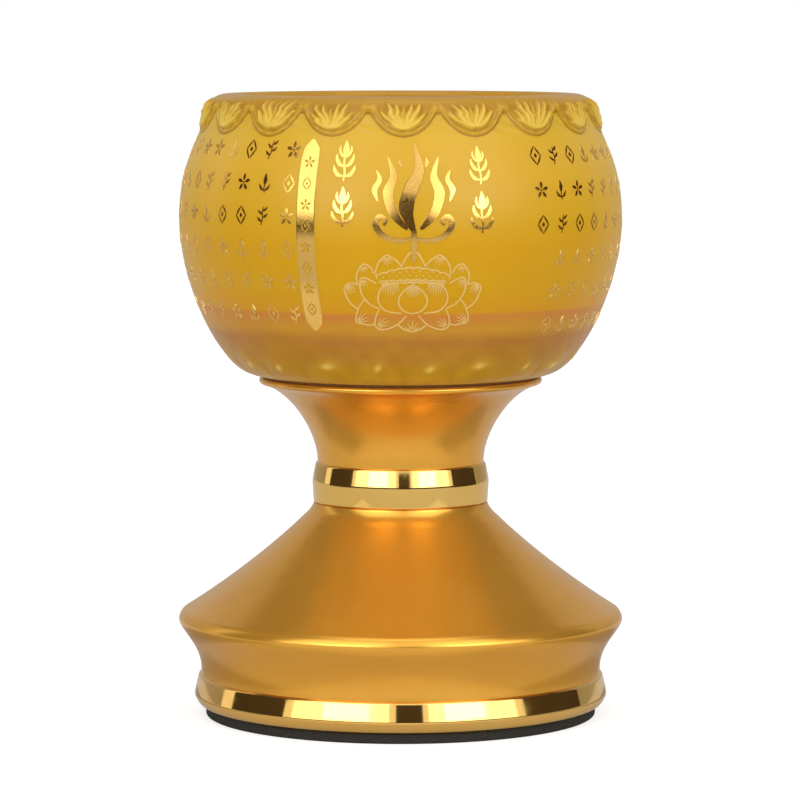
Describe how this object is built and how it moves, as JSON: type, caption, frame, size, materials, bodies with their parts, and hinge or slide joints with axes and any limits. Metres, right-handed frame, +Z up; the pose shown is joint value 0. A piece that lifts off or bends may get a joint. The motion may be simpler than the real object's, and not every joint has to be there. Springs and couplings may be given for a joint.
{
  "type": "candle holder",
  "caption": "Round frosted glass bowl with petals round its rim and foot, standing in the mouth of a turned metal stand with a polished collar and a conical base.",
  "frame": {"origin": "middle of the foam pad's underside, at table level", "axes": "+Z up along the axis of the stand and the bowl, -Y towards the bowl's front ornament"},
  "size_m": [0.091, 0.091, 0.1271],
  "materials": {
    "glass": "frosted amber, tinted through",
    "lacquer": "satin gold lacquer",
    "polish": "mirror-polished gold plating, also the gilt ornament on the bowl",
    "steel": "zinc-plated",
    "iron": "raw casting",
    "rubber": "matt",
    "foam": "closed-cell foam"
  },
  "bodies": {
    "stand": {"foam_pad": "foam", "bottom_plate": "steel", "base_ring": "polish", "base_skirt": "lacquer", "ballast_disc": "iron", "base_cone": "lacquer", "collar_ring": "polish", "neck_trumpet": "lacquer", "seat_plate": "steel", "bowl_gasket": "rubber", "tie_rod": "steel", "top_washer": "steel", "jam_nut": "steel", "bottom_washer": "steel", "spring_washer": "steel", "bottom_nut": "steel"},
    "bowl": {"glass_bowl": "glass"}
  },
  "joints": [
    {"name": "bowl_lift", "type": "slide", "parent": "stand", "child": "bowl", "axis": [0, 0, 1], "range_m": [0, 0.06]}
  ]
}
